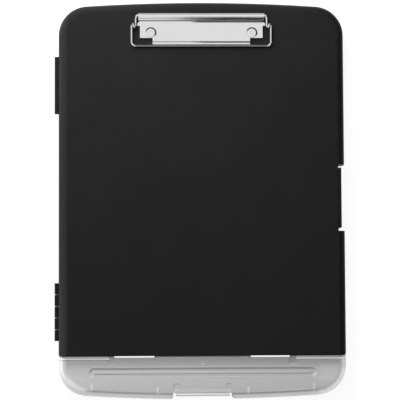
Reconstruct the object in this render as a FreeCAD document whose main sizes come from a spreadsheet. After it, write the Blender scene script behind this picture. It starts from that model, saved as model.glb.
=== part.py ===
import FreeCAD, Part
import math
import os
import re

import Sketcher

# A storage clipboard box: a black tray and hinged lid for paper, a wire clip riveted on the lid,
# and a frosted pen box with a flip cover across the lower end.
# Lengths are in millimetres. The origin is the centre of the footprint on the underside.
# +X points to the latch side, +Y to the clip end and +Z up.

SIZES = {
    # Outline, shared by the tray, the lid and the pen box
    "box_width": 242.0,
    "lid_length": 299.5,
    "pen_length": 36.5,
    "bow_radius": 1500.0,
    "corner_radius": 25.0,
    "edge_round": 7.0,
    "foot_round": 2.0,
    "split_corner": 2.0,
    "split_edge": 0.8,
    # Heights and walls of the tray and the lid
    "base_height": 12.0,
    "box_height": 22.0,
    "wall": 2.2,
    "floor_thickness": 2.0,
    "top_thickness": 2.2,
    "rim_gap": 0.3,
    "overrun": 5.0,
    # Tabs that centre the lid on the tray
    "tab_length": 40.0,
    "tab_thickness": 1.5,
    "tab_height": 2.5,
    "tab_gap": 0.5,
    "tab_spread": 90.0,
    # Barrel hinges on the left
    "hinge_reach": 1.4,
    "hinge_length": 48.9,
    "lower_hinge_start": 12.6,
    "upper_hinge_drop": 45.9,
    "knuckle_radius": 2.2,
    "knuckle_gap": 0.3,
    "relief_gap": 0.35,
    "hinge_pin_radius": 1.0,
    "hinge_pin_gap": 0.05,
    "hinge_pin_inset": 0.5,
    # Flex latch on the right
    "latch_rise": 132.6,
    "latch_length": 50.6,
    "latch_slot": 2.8,
    "latch_depth": 5.8,
    "latch_recess": 3.0,
    "latch_root_gap": 0.3,
    "latch_thickness": 1.6,
    "latch_foot": 3.0,
    "latch_round": 1.4,
    "latch_nib": 0.7,
    "latch_nib_low": 4.5,
    "latch_nib_height": 2.0,
    "bay_gap": 0.7,
    "bay_ridge": 0.8,
    "bay_ridge_low": 7.2,
    "bay_ridge_height": 1.4,
    # Pen box
    "pen_height": 21.0,
    "pen_wall": 1.8,
    "pen_gap": 0.3,
    "pen_axis_depth": 1.9,
    "barrel_radius": 1.4,
    "barrel_half_length": 39.5,
    "end_barrel_length": 3.7,
    "stub_radius": 0.9,
    "stub_length": 2.5,
    "stub_gap": 0.05,
    "ear_start": 78.5,
    "riser_gap": 0.4,
    "slit_gap": 1.0,
    "strip_reach": 0.4,
    "hook_spread": 95.0,
    "hook_width": 12.0,
    "hook_low": 6.0,
    "hook_thickness": 1.6,
    "hook_barb": 1.0,
    "hook_gap": 0.3,
    "hook_reach": 1.2,
    # Pen cover: recessed panel, marks, ribs and finger tongue
    "panel_half_length": 95.5,
    "panel_start": 9.9,
    "panel_width": 8.3,
    "panel_depth": 0.6,
    "panel_slope": 1.4,
    "bead_width": 2.0,
    "bead_rise": 0.25,
    "bead_round": 0.2,
    "dip_reach": 1.7,
    "dip_width": 6.5,
    "dip_length": 5.0,
    "dip_depth": 0.3,
    "dip_round": 1.2,
    "gate_start": 5.8,
    "gate_radius": 1.3,
    "mark_spread": 22.0,
    "mark_start": 10.3,
    "mark_radius": 3.0,
    "mark_depth": 0.15,
    "rib_inner": 38.0,
    "rib_outer": 93.2,
    "rib_thickness": 1.2,
    "rib_start": 3.7,
    "rib_outer_start": 6.5,
    "rib_length": 6.9,
    "rib_depth": 4.0,
    "tongue_half_length": 22.6,
    "tongue_slot": 2.4,
    "tongue_root": 5.6,
    "tongue_recess": 2.7,
    "tongue_thickness": 1.6,
    "tongue_foot": 4.0,
    "tongue_round": 1.4,
    "tongue_nib": 0.6,
    "tongue_nib_low": 5.5,
    "tongue_nib_height": 1.7,
    "ledge_reach": 1.2,
    "ledge_low": 8.0,
    "ledge_height": 1.5,
    "notch_gap": 0.2,
    "notch_corner": 2.5,
    # Clip plate, measured down from the top of the bow
    "shoulder_half_width": 54.1,
    "plate_half_width": 52.0,
    "plate_top_drop": 16.5,
    "shoulder_drop": 21.0,
    "ear_bottom_drop": 31.4,
    "lip_drop": 36.7,
    "lip_half_width": 41.3,
    "lip_foot": 1.8,
    "lip_slope_height": 0.8,
    "lip_slope_length": 0.8,
    "sheet_thickness": 0.9,
    "panel_rise": 0.6,
    "plate_corner": 2.4,
    "neck_rise": 2.0,
    "neck_run": 2.7,
    "crease_depth": 0.4,
    "roll_drop": 12.2,
    "roll_radius": 1.95,
    "roll_half_length": 53.3,
    "wire_radius": 1.0,
    "wire_gap": 0.05,
    # Spring wire
    "leg_spread": 55.5,
    "bail_spread": 59.0,
    "knee_half_length": 54.7,
    "knee_drop": 3.0,
    "knee_bend": 1.3,
    "leg_bend": 4.0,
    "coil_drop": 21.2,
    "coil_radius": 1.3,
    "coil_end": 2.0,
    "bail_start": 2.5,
    "bail_drop": 38.0,
    "bail_bend": 3.4,
    "slope_bend": 12.0,
    "bail_lift": 0.3,
    # Rivets
    "rivet_spread": 42.8,
    "rivet_drop": 27.0,
    "rivet_head_radius": 4.1,
    "rivet_head_height": 1.1,
    "rivet_head_round": 1.0,
    "rivet_dimple_radius": 1.4,
    "rivet_dimple_depth": 0.5,
    "rivet_shank_radius": 1.5,
    "rivet_hole_gap": 0.1,
    "rivet_tail_radius": 2.6,
    "rivet_tail_height": 0.8,
    "washer_radius": 4.5,
    "washer_thickness": 0.8,
}

KNUCKLES = 5
NEAR = 0.001

doc = FreeCAD.newDocument("storage_clipboard_box")
sheet = doc.addObject("Spreadsheet::Sheet", "Sizes")
for row, (alias, amount) in enumerate(SIZES.items(), 1):
    sheet.set("A%d" % row, alias)
    sheet.set("B%d" % row, str(amount))
    sheet.setAlias("B%d" % row, alias)
doc.recompute()

# Places that several pieces share, written as sums of the sheet's names
RIGHT = "(box_width / 2)"
LEFT = "(-box_width / 2)"
FAR = "((lid_length + pen_length) / 2)"
FRONT = "(-(lid_length + pen_length) / 2)"
SPLIT = "((pen_length - lid_length) / 2)"
LID_MIDDLE = "(pen_length / 2)"
LID_LOW = "(base_height + rim_gap)"
LID_UNDER = "(box_height - top_thickness)"
HINGE_X = "(-box_width / 2 - hinge_reach)"
LOWER_HINGE = "(%s + lower_hinge_start)" % SPLIT
UPPER_HINGE = "(%s - upper_hinge_drop - hinge_length)" % FAR
LATCH_LOW = "(%s + latch_rise - latch_length / 2)" % SPLIT
LATCH_HIGH = "(%s + latch_rise + latch_length / 2)" % SPLIT
LID_BAY = "(box_width / 2 - latch_depth)"
BASE_BAY = "(box_width / 2 - latch_depth - bay_gap)"
PEN_BACK = "(%s - pen_gap)" % SPLIT
PEN_AXIS_Y = "(%s - pen_axis_depth)" % SPLIT
PEN_AXIS_Z = "(pen_height - barrel_radius)"
COVER_BACK = "(%s - barrel_radius - pen_gap)" % PEN_AXIS_Y
TONGUE_ROOT = "(%s + tongue_root)" % FRONT
NOTCH_SIDE = "(tongue_half_length + tongue_slot)"
TRAY_NOTCH = "(%s + notch_gap)" % TONGUE_ROOT
PLATE_TOP = "(box_height + sheet_thickness + panel_rise)"
RIVET_Y = "(%s - rivet_drop)" % FAR
ROLL_Y = "(%s - roll_drop)" % FAR
ALL_HEIGHTS = ("-overrun", "(box_height + overrun)")
ROLL_Z = "(box_height + roll_radius)"


def size(name):
    """The number that the sheet holds under a name."""
    return float(getattr(sheet, name))


def far_end():
    """Half the whole length, which is Y at the top of the far bow."""
    return (size("lid_length") + size("pen_length")) / 2


def dropped(name):
    """The Y that lies a named drop below the far end."""
    return far_end() - size(name)


def formula(text):
    """The text as an expression: each word in it is a name from the sheet."""
    return re.sub(r"[a-z][a-z_]*", lambda word: "Sizes." + word.group(0), text)


def bind(thing, **texts):
    """Ties properties of an object to the sheet."""
    for name, text in texts.items():
        thing.setExpression(name, formula(text))
    return thing


def put(thing, x, y, z):
    """Ties an object's position to the sheet."""
    for axis, text in zip("xyz", (x, y, z)):
        thing.setExpression(".Placement.Base." + axis, formula(text))
    return thing


def block(name, x, y, z):
    """A box given by its low and high ends along each axis."""
    thing = doc.addObject("Part::Box", name)
    spans = ["%s - (%s)" % (high, low) for low, high in (x, y, z)]
    bind(thing, Length=spans[0], Width=spans[1], Height=spans[2])
    return put(thing, x[0], y[0], z[0])


def rod(name, radius, x, y, z):
    """A cylinder along the one axis that is given as a low and a high end."""
    thing = doc.addObject("Part::Cylinder", name)
    turns = (
        FreeCAD.Rotation(FreeCAD.Vector(0, 1, 0), 90),
        FreeCAD.Rotation(FreeCAD.Vector(1, 0, 0), -90),
        FreeCAD.Rotation(),
    )
    start = []
    for turn, place in zip(turns, (x, y, z)):
        if isinstance(place, tuple):
            thing.Placement = FreeCAD.Placement(FreeCAD.Vector(), turn)
            bind(thing, Radius=radius, Height="%s - (%s)" % (place[1], place[0]))
            start.append(place[0])
        else:
            start.append(place)
    return put(thing, *start)


def fused(name, *things):
    """Several solids joined into one object."""
    thing = doc.addObject("Part::MultiFuse", name)
    thing.Shapes = list(things)
    thing.Refine = True
    return thing


def cut(name, base, *tools):
    """A base less all of its tools."""
    thing = doc.addObject("Part::Cut", name)
    thing.Base = base
    thing.Tool = tools[0] if len(tools) == 1 else fused(name + "_tools", *tools)
    thing.Refine = True
    return thing


def shared(name, one, other):
    """The space that two solids share."""
    thing = doc.addObject("Part::Common", name)
    thing.Base = one
    thing.Tool = other
    return thing


def at(edge, **places):
    """Whether both ends of an edge lie at the given coordinates."""
    return all(
        abs(getattr(vertex.Point, axis) - place) < NEAR
        for vertex in edge.Vertexes
        for axis, place in places.items()
    )


def rounded(name, base, radius, wanted):
    """The base with the edges that a test picks rounded."""
    doc.recompute()
    thing = doc.addObject("Part::Fillet", name)
    thing.Base = base
    edges = enumerate(base.Shape.Edges, 1)
    thing.Edges = [(number, radius, radius) for number, edge in edges if wanted(edge)]
    return thing


def chamfered(name, base, rise, run, wanted):
    """The base with the edges that a test picks cut to a slope."""
    doc.recompute()
    thing = doc.addObject("Part::Chamfer", name)
    thing.Base = base
    edges = enumerate(base.Shape.Edges, 1)
    thing.Edges = [(number, rise, run) for number, edge in edges if wanted(edge)]
    return thing


def sides(name, make):
    """The same piece on the left and on the right; make takes a name and a sign."""
    return [make(name + "_left", "-"), make(name + "_right", "")]


# The outline that all the shells share

def outline_sketch(body, name, inset, low):
    """Two straight sides and two bowed ends, drawn in by inset, on the plane z = low."""
    sketch = body.newObject("Sketcher::SketchObject", name)
    plane = [part for part in body.Origin.OriginFeatures if part.Role == "XY_Plane"][0]
    sketch.AttachmentSupport = [(plane, "")]
    sketch.MapMode = "FlatFace"
    sketch.setExpression(".AttachmentOffset.Base.z", formula(low))
    half = size("box_width") / 2
    bow = size("bow_radius")
    centre = bow - far_end()
    lean = math.acos(half / bow)
    edge = bow * math.sin(lean) - centre
    vector = FreeCAD.Vector
    up = vector(0, 0, 1)
    right = Part.LineSegment(vector(half, -edge, 0), vector(half, edge, 0))
    left = Part.LineSegment(vector(-half, edge, 0), vector(-half, -edge, 0))
    far = Part.ArcOfCircle(Part.Circle(vector(0, -centre, 0), up, bow), lean, math.pi - lean)
    near = Part.ArcOfCircle(
        Part.Circle(vector(0, centre, 0), up, bow), math.pi + lean, 2 * math.pi - lean
    )
    sketch.addGeometry([right, far, left, near], False)
    rules = [("Coincident", 0, 2, 1, 1), ("Coincident", 1, 2, 2, 1)]
    rules += [("Coincident", 2, 2, 3, 1), ("Coincident", 3, 2, 0, 1)]
    rules += [("Vertical", 0), ("Vertical", 2)]
    rules += [("PointOnObject", 1, 3, -2), ("PointOnObject", 3, 3, -2)]
    rules += [("Radius", 1, bow), ("Radius", 3, bow)]
    rules += [("DistanceX", -1, 1, 0, 1, half), ("DistanceX", 2, 1, -1, 1, half)]
    rules += [("DistanceY", 1, 3, -1, 1, centre), ("DistanceY", -1, 1, 3, 3, centre)]
    for rule in rules:
        sketch.addConstraint(Sketcher.Constraint(*rule))
    wanted = {
        "Radius": "bow_radius - %s" % inset,
        "DistanceX": "box_width / 2 - %s" % inset,
        "DistanceY": "bow_radius - " + FAR,
    }
    for number, rule in enumerate(rules):
        if rule[0] in wanted:
            sketch.setExpression("Constraints[%d]" % number, formula(wanted[rule[0]]))
    return sketch


def round_edges(body, name, before, radius, wanted):
    """Rounds edges of a body's last feature."""
    doc.recompute()
    feature = body.newObject("PartDesign::Fillet", name)
    edges = enumerate(before.Shape.Edges, 1)
    feature.Base = (before, ["Edge%d" % number for number, edge in edges if wanted(edge)])
    bind(feature, Radius=radius)
    body.Tip = feature
    return feature


def bowed_body(name, inset, low, high, top_round=None, foot_round=None):
    """A solid over the outline, from low to high, with its corners and rims rounded."""
    body = doc.addObject("PartDesign::Body", name)
    sketch = outline_sketch(body, name + "_outline", inset, low)
    pad = body.newObject("PartDesign::Pad", name + "_pad")
    pad.Profile = sketch
    bind(pad, Length="%s - %s" % (high, low))
    body.Tip = pad
    doc.recompute()
    bottom = pad.Shape.BoundBox.ZMin
    top = pad.Shape.BoundBox.ZMax

    def upright(edge):
        return not at(edge, z=bottom) and not at(edge, z=top)

    last = round_edges(body, name + "_corners", pad, "corner_radius - %s" % inset, upright)
    if top_round:
        last = round_edges(body, name + "_rim", last, top_round, lambda edge: at(edge, z=top))
    if foot_round:
        round_edges(body, name + "_foot", last, foot_round, lambda edge: at(edge, z=bottom))
    doc.recompute()
    return body


def side_of_split(name, y):
    """A block over one side of the split between the lid and the pen box."""
    return block(
        name,
        (LEFT + " - overrun", "(%s + overrun)" % RIGHT),
        y,
        ALL_HEIGHTS,
    )


def eased_span(name, low, high):
    """The space from the split to the far end, with its corners at the split rounded."""
    span = block(name + "_block", (LEFT, RIGHT), (SPLIT, "(%s + overrun)" % FAR), (low, high))
    half = size("box_width") / 2
    split = dropped("lid_length")
    return rounded(
        name, span, size("split_corner"),
        lambda edge: at(edge, x=half, y=split) or at(edge, x=-half, y=split),
    )


# Barrel hinges

def knuckle_span(start, index):
    """The low and high Y of one knuckle, less half a gap at each end."""
    low = "(%s + hinge_length * %d / %d + knuckle_gap / 2)" % (start, index, KNUCKLES)
    high = "(%s + hinge_length * %d / %d - knuckle_gap / 2)" % (start, index + 1, KNUCKLES)
    return low, high


def hinge_spans(own):
    """The spans of the tray's knuckles, or of the lid's, in both hinges."""
    indices = [index for index in range(KNUCKLES) if (index % 2 == 0) == (own == "base")]
    return [knuckle_span(start, index) for start in (LOWER_HINGE, UPPER_HINGE) for index in indices]


def knuckles(own, web_low, web_high):
    """Barrels on the hinge axis, each with the web that joins it to its wall."""
    made = []
    for index, span in enumerate(hinge_spans(own)):
        name = "%s_knuckle_%d" % (own, index)
        made.append(rod(name, "knuckle_radius", HINGE_X, span, "base_height"))
        wall = (HINGE_X, "(%s + wall / 2)" % LEFT)
        made.append(block(name + "_web", wall, span, (web_low, web_high)))
    return made


def reliefs(own, other):
    """Round clearances in one wall for the knuckles of the other."""
    made = []
    for index, (low, high) in enumerate(hinge_spans(other)):
        span = ("(%s - knuckle_gap)" % low, "(%s + knuckle_gap)" % high)
        name = "%s_relief_%d" % (own, index)
        made.append(rod(name, "(knuckle_radius + relief_gap)", HINGE_X, span, "base_height"))
    return made


def hinge_bore(own):
    """The bore for both pins, along the whole left side."""
    return rod(
        own + "_bore", "(hinge_pin_radius + hinge_pin_gap)", HINGE_X, (SPLIT, FAR), "base_height"
    )


def make_hinge_pins():
    for place, start in (("lower", LOWER_HINGE), ("upper", UPPER_HINGE)):
        span = ("(%s + hinge_pin_inset)" % start, "(%s + hinge_length - hinge_pin_inset)" % start)
        rod("lid_hinge_pin_" + place, "hinge_pin_radius", HINGE_X, span, "base_height")


# Black tray

def bay_block(name, x, grow):
    """The latch bay from x outwards, grown along Y by a wall or by nothing."""
    return block(
        name,
        (x, "(%s + overrun)" % RIGHT),
        ("(%s - latch_slot - %s)" % (LATCH_LOW, grow), "(%s + latch_slot + %s)" % (LATCH_HIGH, grow)),
        ALL_HEIGHTS,
    )


def side_tab(name, sign, y):
    """One tab inside a side wall, which stands up into the lid."""
    inner = "(box_width / 2 - wall - tab_gap - tab_thickness)"
    outer = "(box_width / 2 - wall - tab_gap)"
    root = "(box_width / 2 - wall / 2)"
    span = ("(%s - tab_length / 2)" % y, "(%s + tab_length / 2)" % y)
    low = "(base_height - tab_height)"
    upper = block(name, (inner, outer), span, (low, "(base_height + tab_height)"))
    lower = block(name + "_root", (inner, root), span, (low, "base_height"))
    if sign == "-":
        put(upper, "-" + outer, span[0], low)
        put(lower, "-" + root, span[0], low)
    return [upper, lower]


def far_tab():
    """The tab inside the far wall."""
    inner = "(%s - wall - tab_gap - tab_thickness)" % FAR
    outer = "(%s - wall - tab_gap)" % FAR
    span = ("(-tab_length / 2)", "(tab_length / 2)")
    low = "(base_height - tab_height)"
    upper = block("far_tab", span, (inner, outer), (low, "(base_height + tab_height)"))
    root = (inner, "(%s - wall / 2)" % FAR)
    return [upper, block("far_tab_root", span, root, (low, "base_height"))]


def hook_window(name, sign):
    """The opening in the tray's end wall for one hook of the pen box."""
    centre = "(%shook_spread)" % sign
    half = "(hook_width / 2 + hook_gap)"
    return block(
        name,
        ("(%s - %s)" % (centre, half), "(%s + %s)" % (centre, half)),
        ("(%s - overrun)" % SPLIT, "(%s + wall + overrun)" % SPLIT),
        ("(hook_low - hook_gap)", "(hook_low + hook_thickness + hook_barb + hook_gap)"),
    )


def make_base_tray(outer):
    hollow = cut(
        "base_hollow",
        bowed_body("base_cavity", "wall", "floor_thickness", "(base_height + overrun)"),
        side_of_split("base_end", ("(%s - overrun)" % FRONT, "(%s + wall)" % SPLIT)),
        bay_block("base_bay_wall", "(%s - wall)" % BASE_BAY, "wall"),
    )
    shell = cut(
        "base_shell",
        shared("base_outer", outer, eased_span("base_span", "0", "base_height")),
        hollow,
        bay_block("base_bay", BASE_BAY, "0"),
        *sides("hook_window", hook_window),
        *reliefs("base", "lid"),
    )
    tabs = far_tab()
    for number, sign in enumerate("-+"):
        y = "(%s %s tab_spread)" % (LID_MIDDLE, sign)
        tabs += side_tab("left_tab_%d" % number, "-", y)
        tabs += side_tab("right_tab_%d" % number, "", y)
    ridge = block(
        "bay_ridge",
        (BASE_BAY, "(%s + bay_ridge)" % BASE_BAY),
        (LATCH_LOW, LATCH_HIGH),
        ("bay_ridge_low", "(bay_ridge_low + bay_ridge_height)"),
    )
    barrels = knuckles("base", "(base_height - knuckle_radius)", "base_height")
    solid = fused("base_solid", shell, ridge, *tabs, *barrels)
    cut("base_tray", solid, hinge_bore("base"))


# Black lid

def rivet_hole(name, sign):
    return rod(
        name,
        "(rivet_shank_radius + rivet_hole_gap)",
        "(%srivet_spread)" % sign,
        RIVET_Y,
        (LID_LOW, "(%s + overrun)" % PLATE_TOP),
    )


def make_lid():
    top = size("box_height")
    split = dropped("lid_length")
    span = rounded(
        "lid_span_eased", eased_span("lid_span", LID_LOW, "box_height"), size("split_edge"),
        lambda edge: at(edge, y=split, z=top),
    )
    hollow = cut(
        "lid_hollow",
        bowed_body(
            "lid_cavity", "wall", "(base_height + rim_gap - overrun)", LID_UNDER,
            "edge_round - wall",
        ),
        side_of_split("lid_end", ("(%s - overrun)" % FRONT, "(%s + wall)" % SPLIT)),
        bay_block("lid_bay_wall", "(%s - wall)" % LID_BAY, "wall"),
    )
    shell = cut(
        "lid_shell",
        shared("lid_form", bowed_body("lid_outer", "0", LID_LOW, "box_height", "edge_round"), span),
        hollow,
        bay_block("lid_bay", LID_BAY, "0"),
        *sides("lid_rivet_hole", rivet_hole),
        *reliefs("lid", "base"),
    )
    barrels = knuckles("lid", LID_LOW, "(base_height + knuckle_radius)")
    cut("lid", fused("lid_solid", shell, *barrels), hinge_bore("lid"))


def make_side_latch():
    length = (LATCH_LOW, LATCH_HIGH)
    outer = "(box_width / 2 - latch_recess)"
    inner = "(box_width / 2 - latch_recess - latch_thickness)"
    root = "(%s + latch_root_gap)" % LID_BAY
    top = block("side_latch_top", (root, outer), length, (LID_UNDER, "box_height"))
    tongue = block("side_latch_tongue", (inner, outer), length, ("latch_foot", "box_height"))
    nib = block(
        "side_latch_nib",
        ("(%s - latch_nib)" % inner, inner),
        length,
        ("latch_nib_low", "(latch_nib_low + latch_nib_height)"),
    )
    solid = fused("side_latch_solid", top, tongue, nib)
    edge_x = size("box_width") / 2 - size("latch_recess")
    rounded(
        "side_latch", solid, size("latch_round"),
        lambda edge: at(edge, x=edge_x, z=size("box_height")),
    )


# Frosted pen box

def notch_block(name, y, grow):
    """The finger notch in the front edge up to y, grown by a wall or by nothing."""
    side = "(%s + %s)" % (NOTCH_SIDE, grow)
    return block(
        name,
        ("(-%s)" % side, side),
        ("(%s - overrun)" % FRONT, "(%s + %s)" % (y, grow)),
        ALL_HEIGHTS,
    )


def notch_flare(name, sign):
    """What rounds one front corner of the notch away."""
    far = "(%s + notch_corner)" % NOTCH_SIDE
    x = (NOTCH_SIDE, far) if sign == "" else ("(-%s)" % far, "(-%s)" % NOTCH_SIDE)
    centre_y = "(%s + notch_corner)" % FRONT
    corner = block(name + "_corner", x, ("(%s - overrun)" % FRONT, centre_y), ALL_HEIGHTS)
    disc = rod(name + "_disc", "notch_corner", "(%s%s)" % (sign, far), centre_y, ALL_HEIGHTS)
    return cut(name, corner, disc)


def hinge_slit(name, sign, grow, far, z):
    """The slit behind the cover between two barrels, grown by a wall or by nothing."""
    low = "(barrel_half_length + slit_gap - %s)" % grow
    high = "(ear_start - pen_gap - end_barrel_length + %s)" % grow
    x = (low, high) if sign == "" else ("(-%s)" % high, "(-%s)" % low)
    return block(name, x, ("(%s - %s)" % (PEN_AXIS_Y, grow), far), z)


def ear_parts(name, sign):
    """One ear behind the cover, round on top where the cover turns past it."""
    x = ("ear_start", RIGHT) if sign == "" else (LEFT, "(-ear_start)")
    front = "(%s - barrel_radius)" % PEN_AXIS_Y
    lower = block(name + "_lower", x, (front, PEN_BACK), ("base_height", PEN_AXIS_Z))
    upper = block(name + "_upper", x, (PEN_AXIS_Y, PEN_BACK), (PEN_AXIS_Z, "pen_height"))
    nose = rod(name + "_nose", "barrel_radius", x, PEN_AXIS_Y, PEN_AXIS_Z)
    return fused(name, lower, upper, nose)


def stub_socket(name, sign):
    """The blind hole in an ear for the cover's stub."""
    depth = "(ear_start + stub_length + pen_gap)"
    x = ("(ear_start - overrun)", depth) if sign == "" else ("(-%s)" % depth, "(overrun - ear_start)")
    return rod(name, "(stub_radius + stub_gap)", x, PEN_AXIS_Y, PEN_AXIS_Z)


def hook(name, sign):
    """A hook that reaches through the black tray's end wall."""
    centre = "(%shook_spread)" % sign
    x = ("(%s - hook_width / 2)" % centre, "(%s + hook_width / 2)" % centre)
    tip = "(%s + wall + hook_gap + hook_reach)" % SPLIT
    arm_top = "(hook_low + hook_thickness)"
    arm = block(name + "_arm", x, (PEN_BACK + " - pen_wall / 2", tip), ("hook_low", arm_top))
    barb = block(
        name + "_barb", x, ("(%s + wall + hook_gap)" % SPLIT, tip),
        (arm_top + " - hook_thickness / 2", "(%s + hook_barb)" % arm_top),
    )
    return fused(name, arm, barb)


def make_pen_tray(outer):
    riser_z = ("(base_height - pen_wall)", "(%s - barrel_radius - riser_gap)" % PEN_AXIS_Z)

    def slit_wall(name, sign):
        return hinge_slit(name, sign, "pen_wall", PEN_BACK, ALL_HEIGHTS)

    def slit_riser(name, sign):
        return hinge_slit(name, sign, "pen_wall", PEN_BACK, riser_z)

    def slit(name, sign):
        return hinge_slit(name, sign, "0", "(%s + overrun)" % PEN_BACK, ALL_HEIGHTS)

    hollow = cut(
        "pen_tray_hollow",
        bowed_body("pen_tray_cavity", "pen_wall", "pen_wall", "(base_height + overrun)"),
        side_of_split("pen_tray_end", ("(%s - pen_wall)" % PEN_BACK, "(%s + overrun)" % FAR)),
        notch_block("pen_tray_notch_wall", TRAY_NOTCH, "pen_wall"),
        *sides("slit_wall", slit_wall),
    )
    shell = cut(
        "pen_tray_shell",
        outer,
        side_of_split("pen_tray_cut", (PEN_BACK, "(%s + overrun)" % FAR)),
        hollow,
        notch_block("pen_tray_notch", TRAY_NOTCH, "0"),
        *sides("tray_flare", notch_flare),
    )
    riser = block(
        "pen_tray_riser",
        ("(-ear_start)", "ear_start"),
        ("(%s - pen_wall)" % PEN_BACK, PEN_BACK),
        riser_z,
    )
    ears = shared(
        "pen_tray_ears",
        bowed_body("pen_ear_outer", "0", "base_height", "pen_height", "edge_round"),
        fused("pen_ear_parts", *sides("pen_ear", ear_parts)),
    )
    ledge = block(
        "pen_tray_ledge",
        ("(-tongue_half_length)", "tongue_half_length"),
        ("(%s - ledge_reach)" % TRAY_NOTCH, TRAY_NOTCH),
        ("ledge_low", "(ledge_low + ledge_height)"),
    )
    risers = sides("slit_riser", slit_riser)
    solid = fused("pen_tray_solid", shell, riser, *risers, ears, ledge, *sides("pen_hook", hook))
    cut("pen_tray", solid, *sides("stub_socket", stub_socket), *sides("hinge_slit", slit))


def end_barrel(name, sign):
    """The short barrel beside an ear, with the stub that turns in it."""
    low = "(ear_start - pen_gap - end_barrel_length)"
    high = "(ear_start - pen_gap)"
    tip = "(ear_start + stub_length)"
    barrel_x = (low, high) if sign == "" else ("(-%s)" % high, "(-%s)" % low)
    stub_x = (low, tip) if sign == "" else ("(-%s)" % tip, "(-%s)" % low)
    barrel = rod(name + "_barrel", "barrel_radius", barrel_x, PEN_AXIS_Y, PEN_AXIS_Z)
    stub = rod(name + "_stub", "stub_radius", stub_x, PEN_AXIS_Y, PEN_AXIS_Z)
    return fused(name, barrel, stub)


def ribs(name, sign):
    """The two ribs under one half of the cover."""
    made = []
    for place, start in (("rib_inner", "rib_start"), ("rib_outer", "rib_outer_start")):
        centre = "(%s%s)" % (sign, place)
        low = "(%s + %s)" % (FRONT, start)
        made.append(block(
            "%s_%s" % (name, place),
            ("(%s - rib_thickness / 2)" % centre, "(%s + rib_thickness / 2)" % centre),
            (low, "(%s + rib_length)" % low),
            ("(pen_height - pen_wall - rib_depth)", "(pen_height - pen_wall / 2)"),
        ))
    return fused(name, *made)


def panel_recess():
    """A shallow recess with round ends and sloping walls along the cover."""
    top = "(%s - panel_start)" % SPLIT
    bottom = "(%s - panel_start - panel_width)" % SPLIT
    middle = "(%s - panel_start - panel_width / 2)" % SPLIT
    z = ("(pen_height - panel_depth)", "(pen_height + overrun)")
    end = "(panel_half_length - panel_width / 2)"
    bar = block("panel_bar", ("(-%s)" % end, end), (bottom, top), z)
    ends = [
        rod("panel_end_left", "(panel_width / 2)", "(-%s)" % end, middle, z),
        rod("panel_end_right", "(panel_width / 2)", end, middle, z),
    ]
    floor = size("pen_height") - size("panel_depth")
    return chamfered(
        "panel_recess", fused("panel_form", bar, *ends), size("panel_depth"), size("panel_slope"),
        lambda edge: at(edge, z=floor),
    )


def panel_bead():
    """The raised bar along the middle of the recess."""
    middle = "(%s - panel_start - panel_width / 2)" % SPLIT
    end = "(panel_half_length - panel_width / 2)"
    y = ("(%s - bead_width / 2)" % middle, "(%s + bead_width / 2)" % middle)
    z = ("(pen_height - pen_wall)", "(pen_height - panel_depth + bead_rise)")
    bar = block("bead_bar", ("(-%s)" % end, end), y, z)
    top = size("pen_height") - size("panel_depth") + size("bead_rise")
    return rounded("panel_bead", bar, size("bead_round"), lambda edge: at(edge, z=top))


def cover_dip(name, sign):
    """The low place over an end barrel, with rounded corners."""
    low = "(ear_start - pen_gap - end_barrel_length - dip_reach)"
    high = "(%s + dip_width)" % low
    x = (low, high) if sign == "" else ("(-%s)" % high, "(-%s)" % low)
    y = ("(%s - dip_length)" % PEN_AXIS_Y, "(%s + overrun)" % PEN_AXIS_Y)
    z = ("(pen_height - dip_depth)", "(pen_height + overrun)")
    form = block(name + "_block", x, y, z)
    near = far_end() - size("lid_length") - size("pen_axis_depth") - size("dip_length")
    return rounded(
        name, form, size("dip_round"),
        lambda edge: at(edge, y=near) and abs(edge.Vertexes[0].Z - edge.Vertexes[1].Z) > NEAR,
    )


def round_marks():
    """The gate's mark and two ejector marks in the top of the cover."""
    z = ("(pen_height - mark_depth)", "(pen_height + overrun)")
    y = "(%s + mark_start)" % FRONT
    return [
        rod("gate_mark", "gate_radius", "0", "(%s - gate_start)" % SPLIT, z),
        rod("mark_left", "mark_radius", "(-mark_spread)", y, z),
        rod("mark_right", "mark_radius", "mark_spread", y, z),
    ]


def make_pen_cover():
    hollow = cut(
        "pen_cover_hollow",
        bowed_body(
            "pen_cover_cavity", "pen_wall", "(base_height + rim_gap - overrun)",
            "(pen_height - pen_wall)", "edge_round - pen_wall",
        ),
        notch_block("pen_cover_notch_wall", TONGUE_ROOT, "pen_wall"),
    )
    shell = cut(
        "pen_cover_shell",
        bowed_body("pen_cover_outer", "0", LID_LOW, "pen_height", "edge_round"),
        side_of_split("pen_cover_cut", (COVER_BACK, "(%s + overrun)" % FAR)),
        hollow,
        notch_block("pen_cover_notch", TONGUE_ROOT, "0"),
        *sides("cover_flare", notch_flare),
        panel_recess(),
        *round_marks(),
    )
    inner = "(ear_start - pen_gap)"
    strip = block(
        "pen_cover_strip",
        ("(-%s)" % inner, inner),
        ("(%s - pen_wall)" % COVER_BACK, "(%s + strip_reach)" % PEN_AXIS_Y),
        ("(pen_height - pen_wall)", "pen_height"),
    )
    barrel = rod(
        "pen_cover_barrel", "barrel_radius", ("(-barrel_half_length)", "barrel_half_length"),
        PEN_AXIS_Y, PEN_AXIS_Z,
    )
    solid = fused(
        "pen_cover_solid", shell, strip, barrel, panel_bead(),
        *sides("end_barrel", end_barrel), *sides("ribs", ribs)
    )
    cut("pen_cover", solid, *sides("cover_dip", cover_dip))


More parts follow.
